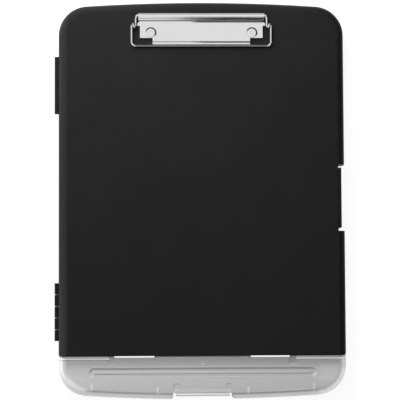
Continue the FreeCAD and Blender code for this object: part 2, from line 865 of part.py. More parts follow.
def make_pen_cover_latch():
    x = ("(-tongue_half_length)", "tongue_half_length")
    outer = "(%s + tongue_recess)" % FRONT
    inner = "(%s + tongue_recess + tongue_thickness)" % FRONT
    top = block(
        "tongue_top", x, (outer, "(%s - pen_gap)" % TONGUE_ROOT),
        ("(pen_height - pen_wall)", "pen_height"),
    )
    tongue = block("tongue_front", x, (outer, inner), ("tongue_foot", "pen_height"))
    nib = block(
        "tongue_nib_bar", x, (inner, "(%s + tongue_nib)" % inner),
        ("tongue_nib_low", "(tongue_nib_low + tongue_nib_height)"),
    )
    solid = fused("pen_cover_latch_solid", top, tongue, nib)
    edge_y = size("tongue_recess") - far_end()
    rounded(
        "pen_cover_latch", solid, size("tongue_round"),
        lambda edge: at(edge, y=edge_y, z=size("pen_height")),
    )


# Steel clip

def clip_neck(plate_far):
    """The sheet that slopes from the rolled edge down to a crease behind the face."""
    top = "(%s - crease_depth + neck_rise)" % PLATE_TOP
    sheet = block(
        "clip_neck_sheet", ("(-roll_half_length)", "roll_half_length"),
        (plate_far, ROLL_Y), ("box_height", top),
    )
    crease_y = dropped("plate_top_drop")
    parts = ("box_height", "sheet_thickness", "panel_rise", "neck_rise")
    high = sum(size(part) for part in parts) - size("crease_depth")
    return chamfered(
        "clip_neck", sheet, size("neck_rise"), size("neck_run"),
        lambda edge: at(edge, y=crease_y, z=high),
    )


def clip_face(plate_far):
    """The raised face: shoulders, panel and lip, which slopes down to a low foot."""
    half_lengths = (
        ("shoulder", "shoulder_half_width", "shoulder_drop"),
        ("panel", "plate_half_width", "ear_bottom_drop"),
        ("lip", "lip_half_width", "(lip_drop - lip_foot)"),
    )
    steps = [
        block(
            "clip_" + name, ("(-%s)" % half, half), ("(%s - %s)" % (FAR, drop), plate_far),
            ("box_height", PLATE_TOP),
        )
        for name, half, drop in half_lengths
    ]
    top = size("box_height") + size("sheet_thickness") + size("panel_rise")
    front = dropped("lip_drop") + size("lip_foot")
    sloped = chamfered(
        "clip_sloped", fused("clip_steps", *steps), size("lip_slope_height"),
        size("lip_slope_length"), lambda edge: at(edge, y=front, z=top),
    )
    corner_y = dropped("plate_top_drop")
    half = size("shoulder_half_width")
    face = chamfered(
        "clip_cornered", sloped, size("plate_corner"), size("plate_corner"),
        lambda edge: at(edge, y=corner_y, x=half) or at(edge, y=corner_y, x=-half),
    )
    foot = block(
        "clip_foot", ("(-lip_half_width)", "lip_half_width"),
        ("(%s - lip_drop)" % FAR, "(%s - ear_bottom_drop)" % FAR),
        ("box_height", "(%s - lip_slope_height)" % PLATE_TOP),
    )
    return fused("clip_face", face, foot)


def make_clip_plate():
    plate_far = "(%s - plate_top_drop)" % FAR
    roll = rod(
        "clip_roll", "roll_radius", ("(-roll_half_length)", "roll_half_length"), ROLL_Y, ROLL_Z
    )
    bore = rod(
        "clip_roll_bore", "(wire_radius + wire_gap)",
        ("(-roll_half_length - overrun)", "(roll_half_length + overrun)"), ROLL_Y, ROLL_Z,
    )
    solid = fused("clip_solid", clip_neck(plate_far), clip_face(plate_far), roll)
    cut("clip_plate", solid, bore, *sides("plate_rivet_hole", rivet_hole))


def make_rivet(name, sign):
    x = "(%srivet_spread)" % sign
    head_top = "(%s + rivet_head_height)" % PLATE_TOP
    tail_top = "(%s - washer_thickness)" % LID_UNDER
    tail_low = "(%s - washer_thickness - rivet_tail_height)" % LID_UNDER
    head = rod(name + "_head", "rivet_head_radius", x, RIVET_Y, (PLATE_TOP, head_top))
    parts = ("box_height", "sheet_thickness", "panel_rise", "rivet_head_height")
    high = sum(size(part) for part in parts)
    domed = rounded(
        name + "_domed", head, size("rivet_head_round"), lambda edge: at(edge, z=high)
    )
    shank = rod(name + "_shank", "rivet_shank_radius", x, RIVET_Y, (tail_low, PLATE_TOP))
    tail = rod(name + "_tail", "rivet_tail_radius", x, RIVET_Y, (tail_low, tail_top))
    dimple = rod(
        name + "_dimple", "rivet_dimple_radius", x, RIVET_Y,
        ("(%s - rivet_dimple_depth)" % head_top, "(%s + overrun)" % head_top),
    )
    return cut(name, fused(name + "_solid", domed, shank, tail), dimple)


def make_washer(name, sign):
    x = "(%srivet_spread)" % sign
    z = ("(%s - washer_thickness)" % LID_UNDER, LID_UNDER)
    disc = rod(name + "_disc", "washer_radius", x, RIVET_Y, z)
    hole = rod(
        name + "_hole", "(rivet_shank_radius + rivet_hole_gap)", x, RIVET_Y,
        ("(%s - overrun)" % z[0], "(%s + overrun)" % z[1]),
    )
    return cut(name, disc, hole)


# Spring wire

def corner_arc(start, corner, end):
    """The arc that touches both legs of a corner, which are equally long."""
    middle = (start + end) * 0.5
    half_turn = (corner - start).getAngle(end - corner) / 2
    rise = (middle - start).Length * math.tan(half_turn / 2)
    top = middle + (corner - middle).normalize() * rise
    return Part.Arc(start, top, end).toShape()


def turned_path(points, radii):
    """Straight runs through the points, with an arc of its own radius at each inner one."""
    edges = []
    last = points[0]
    for before, corner, after, radius in zip(points, points[1:], points[2:], radii):
        inward = (corner - before).normalize()
        outward = (after - corner).normalize()
        leg = radius * math.tan(inward.getAngle(outward) / 2)
        start = corner - inward * leg
        end = corner + outward * leg
        edges.append(Part.LineSegment(last, start).toShape())
        edges.append(corner_arc(start, corner, end))
        last = end
    edges.append(Part.LineSegment(last, points[-1]).toShape())
    return edges


def biarc(start, leave, end, arrive):
    """Two arcs from start to end that keep the given unit directions."""
    chord = end - start
    both = leave + arrive
    lean = 2 * (1 - leave.dot(arrive))
    reach = chord.dot(both)
    leg = (math.sqrt(reach ** 2 + lean * chord.dot(chord)) - reach) / lean
    first = start + leave * leg
    second = end - arrive * leg
    middle = (first + second) * 0.5
    return [corner_arc(start, first, middle), corner_arc(middle, second, end)]


def wire_solid(name, edges):
    """Round wire along a path."""
    path = Part.Wire(edges)
    first = path.OrderedEdges[0]
    begin = first.valueAt(first.FirstParameter)
    ahead = first.tangentAt(first.FirstParameter)
    ring = Part.Wire(Part.Circle(begin, ahead, size("wire_radius")).toShape())
    shell = Part.BRepOffsetAPI.MakePipeShell(path)
    shell.add(ring)
    shell.build()
    shell.makeSolid()
    thing = doc.addObject("Part::Feature", name)
    thing.Shape = shell.shape()
    return thing


def make_wire_bar():
    """The upper bar, from one coil through the rolled edge to the other."""
    vector = FreeCAD.Vector
    low = dropped("coil_drop") + size("coil_end")
    high = dropped("roll_drop")
    z = size("box_height") + size("roll_radius")
    leg = size("leg_spread")
    knee = size("knee_half_length")
    lean = high - size("knee_drop")
    right = [vector(knee, high, z), vector(leg, lean, z), vector(leg, low, z)]
    left = [vector(-point.x, point.y, point.z) for point in reversed(right)]
    bends = [size("leg_bend"), size("knee_bend"), size("knee_bend"), size("leg_bend")]
    wire_solid("clip_wire_bar", turned_path(left + right, bends))


def make_spring(name, side):
    """One turn of wire about the bail's axis, from the bar's leg out to the bail's leg."""
    vector = FreeCAD.Vector
    z = size("box_height") + size("roll_radius")
    y = dropped("coil_drop")
    radius = size("coil_radius")
    pitch = size("bail_spread") - size("leg_spread")
    quarters = 4
    toward = vector(0, -1, 0)

    def point(share):
        turn = 2 * math.pi * share
        x = side * (size("leg_spread") + pitch * share)
        return vector(x, y - radius * math.sin(turn), z + radius * (1 - math.cos(turn)))

    def heading(share):
        if share in (0, 1):
            return toward
        turn = 2 * math.pi * share
        round_y = -2 * math.pi * radius * math.cos(turn)
        round_z = 2 * math.pi * radius * math.sin(turn)
        return vector(side * pitch, round_y, round_z).normalize()

    begin = point(0)
    end = point(1)
    edges = [Part.LineSegment(begin - toward * size("coil_end"), begin).toShape()]
    for quarter in range(quarters):
        low = quarter / quarters
        high = (quarter + 1) / quarters
        edges += biarc(point(low), heading(low), point(high), heading(high))
    edges.append(Part.LineSegment(end, end + toward * size("coil_end")).toShape())
    wire_solid(name, edges)
    gap = min(
        (point(step / 360) - point(other / 360)).Length
        for step in range(361)
        for other in range(step + 180, 361)
    )
    print(name, "least gap to itself", round(gap - 2 * size("wire_radius"), 2))


def make_bail():
    """The lower loop, level where it leaves the coils and then down to the lid."""
    vector = FreeCAD.Vector
    x = size("bail_spread")
    start = dropped("coil_drop") - size("coil_end")
    level = start - size("bail_start")
    end = dropped("bail_drop")
    z = size("box_height") + size("roll_radius")
    low = size("box_height") + size("bail_lift") + size("wire_radius")
    right = [vector(x, start, z), vector(x, level, z), vector(x, end, low)]
    left = [vector(-point.x, point.y, point.z) for point in reversed(right)]
    slope = size("slope_bend")
    corner = size("bail_bend")
    wire_solid("clip_bail", turned_path(right + left, [slope, corner, corner, slope]))


NODES = [
    "base_tray", "lid", "lid_hinge_pin_lower", "lid_hinge_pin_upper", "side_latch",
    "pen_tray", "pen_cover", "pen_cover_latch", "clip_plate", "clip_wire_bar",
    "clip_spring_left", "clip_spring_right", "clip_bail", "clip_rivet_left",
    "clip_rivet_right", "clip_washer_left", "clip_washer_right",
]

tray_outer = bowed_body("tray_outer", "0", "0", "base_height", foot_round="foot_round")
make_base_tray(tray_outer)
make_lid()
make_hinge_pins()
make_side_latch()
make_pen_tray(tray_outer)
make_pen_cover()
make_pen_cover_latch()
make_clip_plate()
make_wire_bar()
make_spring("clip_spring_left", -1)
make_spring("clip_spring_right", 1)
make_bail()
sides("clip_rivet", make_rivet)
sides("clip_washer", make_washer)
doc.recompute()

failed = [thing.Name for thing in doc.Objects if {"Invalid", "Error"} & set(thing.State)]
if failed:
    raise SystemExit("failed objects: " + ", ".join(failed))
for name in NODES:
    shape = doc.getObject(name).Shape
    if shape.isNull() or not shape.isValid() or len(shape.Solids) != 1:
        raise SystemExit("bad shape: " + name)

os.makedirs("parts", exist_ok=True)
for name in NODES:
    doc.getObject(name).Shape.exportStep("parts/%s.step" % name)
    print(name, round(doc.getObject(name).Shape.Volume, 1))
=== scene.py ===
import math
from types import SimpleNamespace

import bpy
from mathutils import Matrix, Vector


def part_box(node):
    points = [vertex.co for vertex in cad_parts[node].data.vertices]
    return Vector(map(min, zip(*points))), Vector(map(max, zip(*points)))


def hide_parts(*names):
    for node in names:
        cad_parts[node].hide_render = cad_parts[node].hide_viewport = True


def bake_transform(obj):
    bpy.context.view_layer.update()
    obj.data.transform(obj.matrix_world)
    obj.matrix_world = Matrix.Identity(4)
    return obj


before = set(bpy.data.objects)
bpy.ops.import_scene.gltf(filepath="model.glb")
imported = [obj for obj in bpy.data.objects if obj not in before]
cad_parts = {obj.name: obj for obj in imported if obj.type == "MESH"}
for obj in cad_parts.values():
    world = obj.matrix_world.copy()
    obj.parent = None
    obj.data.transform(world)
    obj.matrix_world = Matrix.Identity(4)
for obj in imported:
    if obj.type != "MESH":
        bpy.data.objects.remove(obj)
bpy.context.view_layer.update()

MM = 0.001

# Sizes and places of the part that the looks follow, in metres, as its source has them
LID_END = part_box("lid")[0][1]
HALF_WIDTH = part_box("lid")[1][0]
HALF_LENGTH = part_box("lid")[1][1]
CORNER_RADIUS = 25.0 * MM
BOW_RADIUS = 1500.0 * MM
EAR_START = 78.5 * MM
COVER_BACK = LID_END - 3.6 * MM
COVER_LENGTH = 36.5 * MM
TONGUE_ROOT = 5.6 * MM
TONGUE_HALF_LENGTH = 22.6 * MM
RIB_PLACES = ((38.0 * MM, 3.7 * MM), (93.2 * MM, 6.5 * MM))
RIB_LENGTH = 6.9 * MM
WIRE_RADIUS = 1.0 * MM
CREASE_DROP = 16.5 * MM
RIVET_SPREAD = 42.8 * MM
RIVET_DROP = 27.0 * MM
RIVET_RADIUS = 4.1 * MM
PANEL_START = 9.9 * MM
PANEL_END = 18.2 * MM
GATE_Y = LID_END - 5.8 * MM
DIP_START = 72.8 * MM
DIP_END = 79.3 * MM
DIP_FRONT = LID_END - 6.9 * MM

# Relief and softened edges of the materials
GRAIN_DEPTH = 0.02 * MM
PLASTIC_EDGE = 0.5 * MM
STEEL_MARK = 0.9 * MM
STEEL_MARK_DEPTH = 0.004 * MM
STEEL_EDGE = 0.35 * MM

# Places that the photograph gives
BEAD_FRONT = LID_END - 15.4 * MM
SEAM_DROP = 14.8 * MM
LIP_LINE_DROP = 34.8 * MM

# Base tones of the pen cover with painted shade, darker by the hinge, at shares of its length from the
# hinge to the front. They were chosen by comparing the render with the photograph.
COVER_SHADE_TONES = [
    (0.03, 0.385),
    (0.09, 0.335),
    (0.2, 0.415),
    (0.32, 0.51),
    (0.5, 0.585),
    (0.62, 0.585),
    (0.8, 0.56),
]

# The photograph's frame, in pixels, and the camera that gives it
PICTURE_WIDTH = 400
FOCAL_PIXELS = 1662.0
CAMERA_DISTANCE = 1.4
CAMERA_TARGET = Vector((-1.8 * MM, -0.75 * MM, 22.0 * MM))
CAMERA_TILT = math.radians(3.6)
CAMERA_LEAN = math.radians(1.7)
CAMERA_ROLL = math.radians(-0.28)
SENSOR_WIDTH = 36.0


# Camera

def make_camera():
    """Looks almost straight down from a little left of the lower half, with a slight roll."""
    data = bpy.data.cameras.new("camera")
    data.sensor_width = SENSOR_WIDTH
    data.lens = FOCAL_PIXELS / PICTURE_WIDTH * SENSOR_WIDTH
    data.clip_start = 0.01
    data.clip_end = 20.0
    camera = bpy.data.objects.new("camera", data)
    bpy.context.scene.collection.objects.link(camera)
    back = Vector((-math.tan(CAMERA_LEAN), -math.tan(CAMERA_TILT), 1)).normalized()
    right = Vector((0, 1, 0)).cross(back).normalized()
    up = back.cross(right)
    across = right * math.cos(CAMERA_ROLL) + up * math.sin(CAMERA_ROLL)
    rise = up * math.cos(CAMERA_ROLL) - right * math.sin(CAMERA_ROLL)
    turn = Matrix((across, rise, back)).transposed().to_4x4()
    camera.matrix_world = Matrix.Translation(CAMERA_TARGET + back * CAMERA_DISTANCE) @ turn
    bpy.context.scene.camera = camera


# Node helpers

def new_material(name):
    """A material with an empty node tree but for its output."""
    material = bpy.data.materials.new(name)
    material.use_nodes = True
    tree = material.node_tree
    tree.nodes.clear()
    output = tree.nodes.new("ShaderNodeOutputMaterial")
    return material, tree, output


def node(tree, kind, **values):
    """A node with properties and input values set by name."""
    made = tree.nodes.new(kind)
    for name, value in values.items():
        if name in made.bl_rna.properties:
            setattr(made, name, value)
        else:
            made.inputs[name.replace("_", " ")].default_value = value
    return made


class Field:
    """A number at each point of a surface, which is summed and scaled like one."""

    def __init__(self, tree, socket):
        self.tree = tree
        self.socket = socket

    def math(self, operation, other=None):
        made = node(self.tree, "ShaderNodeMath", operation=operation)
        self.tree.links.new(self.socket, made.inputs[0])
        if isinstance(other, Field):
            self.tree.links.new(other.socket, made.inputs[1])
        elif other is not None:
            made.inputs[1].default_value = other
        return Field(self.tree, made.outputs[0])

    def __add__(self, other):
        return self.math("ADD", other)

    def __sub__(self, other):
        return self.math("SUBTRACT", other)

    def __mul__(self, other):
        return self.math("MULTIPLY", other)

    def __abs__(self):
        return self.math("ABSOLUTE")

    def root(self):
        return self.math("SQRT")

    def most(self, other):
        return self.math("MAXIMUM", other)

    def least(self, other):
        return self.math("MINIMUM", other)

    def fade(self, start, end):
        """From 0 at start to 1 at end, smoothly; start may be the higher one."""
        made = node(self.tree, "ShaderNodeMapRange", interpolation_type="SMOOTHSTEP")
        low, high = sorted((start, end))
        made.inputs["From Min"].default_value = low
        made.inputs["From Max"].default_value = high
        made.inputs["To Min"].default_value = float(start > end)
        made.inputs["To Max"].default_value = float(start < end)
        self.tree.links.new(self.socket, made.inputs["Value"])
        return Field(self.tree, made.outputs["Result"])

    def near(self, place, reach, soft):
        """1 within a reach of a place and 0 beyond it, with a soft change."""
        return abs(self - place).fade(reach + soft, reach - soft)

    def within(self, low, high, soft):
        return self.near((low + high) / 2, (high - low) / 2, soft)


def opposite(share):
    """1 where a share is 0, and 0 where it is 1."""
    return share * -1.0 + 1.0


def most_of(first, *others):
    """The greatest of some fields at each point."""
    for other in others:
        first = first.most(other)
    return first


def surface_place(tree):
    """The coordinate node, and the fields x, y and z of the point on the object."""
    coordinates = tree.nodes.new("ShaderNodeTexCoord")
    split = tree.nodes.new("ShaderNodeSeparateXYZ")
    tree.links.new(coordinates.outputs["Object"], split.inputs["Vector"])
    return coordinates, [Field(tree, split.outputs[axis]) for axis in "XYZ"]


def noise(tree, coordinates, size, detail=3.0, stretch=(1.0, 1.0, 1.0)):
    """Noise with grains about one size across, in metres, drawn out along an axis by stretch."""
    mapping = tree.nodes.new("ShaderNodeMapping")
    mapping.inputs["Scale"].default_value = [part / size for part in stretch]
    tree.links.new(coordinates.outputs["Object"], mapping.inputs["Vector"])
    made = node(tree, "ShaderNodeTexNoise", Detail=detail, Scale=1.0)
    tree.links.new(mapping.outputs["Vector"], made.inputs["Vector"])
    return Field(tree, made.outputs["Fac"])


def ramp(field, stops):
    """The socket of a colour ramp from grey levels, or colours, at places from 0 to 1."""
    made = field.tree.nodes.new("ShaderNodeValToRGB")
    elements = made.color_ramp.elements
    while len(elements) < len(stops):
        elements.new(0.5)
    for element, (place, tone) in zip(elements, stops):
        element.position = place
        element.color = (tone, tone, tone, 1.0) if isinstance(tone, float) else (*tone, 1.0)
    field.tree.links.new(field.socket, made.inputs["Fac"])
    return made.outputs["Color"]


def blended(tree, share, low, high):
    """The socket of a colour that goes from low to high with a share from 0 to 1."""
    mix = node(tree, "ShaderNodeMix", data_type="RGBA")
    tree.links.new(share.socket, mix.inputs["Factor"])
    for socket, colour in ((mix.inputs[6], low), (mix.inputs[7], high)):
        if isinstance(colour, tuple):
            socket.default_value = (*colour, 1.0)
        else:
            tree.links.new(colour, socket)
    return mix.outputs[2]


def soft_normal(tree, field, depth, strength, edge_radius):
    """The socket of a normal with a fine relief, and sharp edges softened."""
    edges = node(tree, "ShaderNodeBevel", samples=4, Radius=edge_radius)
    made = node(tree, "ShaderNodeBump", Strength=strength, Distance=depth)
    tree.links.new(field.socket, made.inputs["Height"])
    tree.links.new(edges.outputs["Normal"], made.inputs["Normal"])
    return made.outputs["Normal"]


# Black plastic. A pair is where a look starts to fade in and where it is full.

BLACK_PATCH = 45.0 * MM
BLACK_ROUGH_PATCH = 18.0 * MM
BLACK_GRAIN = 0.55 * MM
PLAIN_SPECULAR = 0.07
BAND_FADE = (9.0 * MM - HALF_WIDTH, 4.5 * MM - HALF_WIDTH)
BAND_RIM_FADE = (0.2 * MM - HALF_WIDTH, 2.8 * MM - HALF_WIDTH)
BAND_RIM_SHARE = 0.1
BAND_SPECULAR = 0.17
BAND_FRONT_FADE = (20.0 * MM, -100.0 * MM)
BAND_FRONT_SPECULAR = 0.11
BARREL_FADE = (0.5 * MM - HALF_WIDTH, -0.2 * MM - HALF_WIDTH)
BARREL_LOSS = 0.05


def edge_specular(x, y):
    """The specular level: low all over, with a painted sheen in a band along the lid's left edge.

    The band is there because the photograph is brighter at that edge. The exported model holds
    one level for the whole surface, so it doesn't have the band.
    """
    band = x.fade(*BAND_FADE)
    band = band * (x.fade(*BAND_RIM_FADE) * (1.0 - BAND_RIM_SHARE) + BAND_RIM_SHARE)
    barrels = x.fade(*BARREL_FADE) * BARREL_LOSS
    level = y.fade(*BAND_FRONT_FADE) * BAND_FRONT_SPECULAR + BAND_SPECULAR
    return band * level + PLAIN_SPECULAR - barrels


def black_plastic():
    """Black plastic with a fine matte grain."""
    material, tree, output = new_material("black_plastic")
    coordinates, (x, y, _) = surface_place(tree)
    shader = node(tree, "ShaderNodeBsdfPrincipled", IOR=1.46)
    tree.links.new(edge_specular(x, y).socket, shader.inputs["Specular IOR Level"])
    tones = ramp(
        noise(tree, coordinates, BLACK_PATCH, detail=4.0),
        [(0.3, (0.0098, 0.0098, 0.0102)), (0.7, (0.0112, 0.0112, 0.0116))],
    )
    tree.links.new(tones, shader.inputs["Base Color"])
    patches = noise(tree, coordinates, BLACK_ROUGH_PATCH, detail=5.0)
    rough = ramp(patches, [(0.25, 0.38), (0.75, 0.47)])
    tree.links.new(rough, shader.inputs["Roughness"])
    grain = noise(tree, coordinates, BLACK_GRAIN, detail=2.0)
    fine = soft_normal(tree, grain, GRAIN_DEPTH, 0.35, PLASTIC_EDGE)
    tree.links.new(fine, shader.inputs["Normal"])
    tree.links.new(shader.outputs["BSDF"], output.inputs["Surface"])
    return material


# Frosted plastic. Its light and dark lines are painted where the photograph has them. A pair is
# where a look starts to fade in and where it is full.

SIDE_FADE = (88.0 * MM, 100.0 * MM)
LEFT_FADE = (0.0, -50.0 * MM)
CORNER_FADE = (-143.0 * MM, -155.0 * MM)
LEFT_RIM_DEPTHS = (8.0 * MM, 4.2 * MM)
RIGHT_RIM_DEPTHS = (6.8 * MM, 3.6 * MM)
RIGHT_EDGE_DEPTHS = (4.5 * MM, 2.8 * MM)
RIGHT_EDGE_FADE = (LID_END - 5.0 * MM, LID_END - 12.0 * MM)
FRONT_RIM_DEPTHS = (4.6 * MM, 2.8 * MM)
GROOVE_DEPTH = 5.8 * MM
GROOVE_REACH = 0.5 * MM
GROOVE_SOFT = 1.0 * MM
GROOVE_RIGHT_FADE = (30.0 * MM, 90.0 * MM)
TONGUE_RIM_FADE = (5.6 * MM - HALF_LENGTH, 4.6 * MM - HALF_LENGTH)
TONGUE_END_FADE = (TONGUE_HALF_LENGTH + 0.5 * MM, TONGUE_HALF_LENGTH)
TONGUE_SIDE_FADE = (TONGUE_HALF_LENGTH + 2.0 * MM, TONGUE_HALF_LENGTH)
TONGUE_LINE_Y = TONGUE_ROOT - HALF_LENGTH
PANEL_END_FADE = (94.0 * MM, 92.0 * MM)
COVER_ENDS_RIGHT = (88.0 * MM, 103.0 * MM)
COVER_ENDS_LEFT = (-88.0 * MM, -103.0 * MM)
COVER_ENDS_BACK = (LID_END - 5.0 * MM, LID_END - 11.0 * MM)
COVER_ENDS_FRONT = (LID_END - 24.0 * MM, LID_END - 19.0 * MM)
EAR_FADE = (EAR_START - 0.5 * MM, EAR_START)
BACK_EDGE_FADE = (LID_END - 1.4 * MM, LID_END - 0.8 * MM)
GATE_FADE = (1.9 * MM, 1.0 * MM)
TOP_FADE = (12.5 * MM, 15.0 * MM)
LINE_SOFT = 0.3 * MM
RIB_REACH = 0.85 * MM
RIB_SOFT = 0.4 * MM
RIB_END_SOFT = 0.5 * MM
FROSTED_PATCH = 12.0 * MM
FROSTED_GRAIN = 0.7 * MM
# The colour of the painted light on rims, edges, ribs and lines, and of the lighter gate mark
PAINTED_LIGHT_COLOUR = (0.9, 0.91, 0.915)
LIGHT_SHARE = 0.6
FAINT_SHARE = 0.4
DIP_SHADE = 0.1
PANEL_FOOT_SHADE = 0.28

# How much light of their own the painted lines give off
SIDE_GLOW = 0.08
CORNER_GLOW = 0.2
RIGHT_EDGE_GLOW = 0.35
FRONT_GLOW = 0.25
GROOVE_GLOW = 0.12
GROOVE_RIGHT_GLOW = 0.05
TONGUE_GLOW = 0.2
EDGE_GLOW = 0.15
EAR_GAP_GLOW = 0.11
EAR_LINE_GLOW = 0.4


def rim_depth(x, y):
    """How far a point of the pen box lies inside its bowed outline with round corners."""
    bowed = abs(y) + x * x * (0.5 / BOW_RADIUS)
    across = abs(x) - (HALF_WIDTH - CORNER_RADIUS)
    along = bowed - (HALF_LENGTH - CORNER_RADIUS)
    across_out = across.most(0.0)
    along_out = along.most(0.0)
    corner = (across_out * across_out + along_out * along_out).root()
    return (corner + across.most(along).least(0.0)) * -1.0 + CORNER_RADIUS


def rib_line(x, y, place, start):
    """1 over a pair of ribs under the cover, which show through it as light lines."""
    low = start - HALF_LENGTH
    across = abs(x).near(place, RIB_REACH, RIB_SOFT)
    return across * y.within(low, low + RIB_LENGTH, RIB_END_SOFT)


def pen_box_rim_light(x, y):
    """The painted light at the rims of the sides and the front, with what each of them needs."""
    depth = rim_depth(x, y)
    to_side = abs(x).fade(*SIDE_FADE)
    to_left = x.fade(*LEFT_FADE)
    corner = to_side * y.fade(*CORNER_FADE) * to_left
    left = depth.fade(*LEFT_RIM_DEPTHS) * to_side * to_left * (corner * 0.5 + 0.5)
    right = depth.fade(*RIGHT_RIM_DEPTHS) * to_side * opposite(to_left)
    groove = depth.near(GROOVE_DEPTH, GROOVE_REACH, GROOVE_SOFT) * opposite(to_side)
    tongue = y.fade(*TONGUE_RIM_FADE) * abs(x).fade(*TONGUE_END_FADE)
    return SimpleNamespace(
        side=left.most(right),
        corner=corner,
        right_edge=right * depth.fade(*RIGHT_EDGE_DEPTHS) * y.fade(*RIGHT_EDGE_FADE),
        front=depth.fade(*FRONT_RIM_DEPTHS),
        groove=groove * (x.fade(*GROOVE_RIGHT_FADE) * GROOVE_RIGHT_GLOW + GROOVE_GLOW),
        tongue=tongue,
    )


def pen_box_shade(x, y, in_dip, on_panel):
    """The dark share in the right dip, the only one that shows, and at the panel's foot."""
    dip = in_dip * y.fade(DIP_FRONT - 0.4 * MM, DIP_FRONT)
    panel_foot = y.near(LID_END - PANEL_END + 0.7 * MM, 0.9 * MM, 0.4 * MM) * on_panel
    return (dip * DIP_SHADE).most(panel_foot * PANEL_FOOT_SHADE)


def pen_box_edge_light(x, y):
    """Painted light at half strength along the tongue's root and along the cover's back edge."""
    tongue_line = y.within(TONGUE_LINE_Y - 0.9 * MM, TONGUE_LINE_Y + 0.7 * MM, LINE_SOFT)
    tongue_line = tongue_line * abs(x).fade(*TONGUE_END_FADE)
    return (tongue_line * 0.5).most(y.fade(*BACK_EDGE_FADE) * 0.5)


def pen_box_faint_light(x, y, in_dip, on_panel):
    """The fainter painted light lines and lighter patches of the panel, the dip, the tongue and the
    cover's two ends.
    """
    panel_lines = most_of(
        y.near(LID_END - PANEL_START + 1.0 * MM, 0.3 * MM, LINE_SOFT),
        y.near(LID_END - PANEL_START - 1.0 * MM, 0.7 * MM, LINE_SOFT),
        y.near(BEAD_FRONT, 0.5 * MM, LINE_SOFT),
    )
    tongue_back = y.fade(TONGUE_LINE_Y + 4.5 * MM, TONGUE_LINE_Y + 1.5 * MM)
    tongue_back = tongue_back * abs(x).fade(*TONGUE_SIDE_FADE)
    dip_line = in_dip * y.near(DIP_FRONT - 0.7 * MM, 0.3 * MM, LINE_SOFT)
    ends = x.fade(*COVER_ENDS_RIGHT).most(x.fade(*COVER_ENDS_LEFT) * 0.4)
    ends = ends * y.fade(*COVER_ENDS_BACK) * y.fade(*COVER_ENDS_FRONT)
    return most_of(panel_lines * on_panel, dip_line, tongue_back, ends) * FAINT_SHARE


def pen_box_glow(x, y, z, rims, edges):
    """The light that rims, edges and ears give off, in the upper part of the pen box only."""
    beside = abs(x).fade(*EAR_FADE)
    ear_line = y.within(COVER_BACK + 0.5 * MM, COVER_BACK + 1.7 * MM, 0.25 * MM) * beside
    ear_gap = y.within(COVER_BACK - 0.4 * MM, COVER_BACK + 0.5 * MM, 0.15 * MM) * beside
    glow = most_of(
        rims.side * SIDE_GLOW,
        rims.right_edge * RIGHT_EDGE_GLOW,
        rims.side * rims.corner * CORNER_GLOW,
        rims.front * FRONT_GLOW,
        rims.groove,
        rims.tongue * TONGUE_GLOW,
        edges * EDGE_GLOW,
        ear_gap * EAR_GAP_GLOW,
        ear_line * EAR_LINE_GLOW,
    )
    return glow * z.fade(*TOP_FADE)


def frosted_plastic():
    """Frosted plastic with painted shade, and painted light on its rims, edges and ribs; the rims
    and edges also give off some light.
    """
    material, tree, output = new_material("frosted_plastic")
    coordinates, (x, y, z) = surface_place(tree)
    shader = node(tree, "ShaderNodeBsdfPrincipled", IOR=1.49)
    shader.inputs["Specular IOR Level"].default_value = 0.35
    shader.inputs["Transmission Weight"].default_value = 0.12
    # Painted shade along the cover: darker near the hinge, lighter towards the front
    tones = ramp((y - LID_END) * (-1.0 / COVER_LENGTH), COVER_SHADE_TONES)
    in_dip = x.within(DIP_START, DIP_END, 0.4 * MM)
    on_panel = abs(x).fade(*PANEL_END_FADE)
    shade = pen_box_shade(x, y, in_dip, on_panel)
    dark = blended(tree, shade, tones, (0.0, 0.0, 0.0))
    rims = pen_box_rim_light(x, y)
    edges = pen_box_edge_light(x, y)
    faint = pen_box_faint_light(x, y, in_dip, on_panel)
    gate = (x * x + (y - GATE_Y) * (y - GATE_Y)).root().fade(*GATE_FADE)
    ribs = [rib_line(x, y, place, start) for place, start in RIB_PLACES]
    # Painted light on rims, edges, ribs and lines, and the lighter gate mark
    lit = most_of(rims.side, rims.front, *ribs, edges, faint, gate * 0.5)
    colour = blended(tree, lit * LIGHT_SHARE, dark, PAINTED_LIGHT_COLOUR)
    tree.links.new(colour, shader.inputs["Base Color"])
    glow = pen_box_glow(x, y, z, rims, edges)
    shader.inputs["Emission Color"].default_value = (1.0, 1.0, 1.0, 1.0)
    tree.links.new(glow.socket, shader.inputs["Emission Strength"])
    patches = noise(tree, coordinates, FROSTED_PATCH, detail=4.0)
    rough = ramp(patches, [(0.3, 0.38), (0.7, 0.5)])
    tree.links.new(rough, shader.inputs["Roughness"])
    grain = noise(tree, coordinates, FROSTED_GRAIN, detail=2.0)
    fine = soft_normal(tree, grain, GRAIN_DEPTH, 0.3, PLASTIC_EDGE)
    tree.links.new(fine, shader.inputs["Normal"])
    tree.links.new(shader.outputs["BSDF"], output.inputs["Surface"])
    return material


# Steel. The dark lines are painted where the photograph has them.

CREASE_DARK = 0.8
BELOW_DARK = 0.92
SEAM_DARK = 0.45
LIP_DARK = 0.8
RING_DARK = 0.97
BAR_DARK = 0.76
BELOW_FADE = (-12.0 * MM, -2.0 * MM)
LIP_FADE = (-12.0 * MM, 6.0 * MM)
FAR_SIDE_FADE = (-1.5 * MM, 1.0 * MM)
BAR_END_FADE = (57.5 * MM, 55.0 * MM)


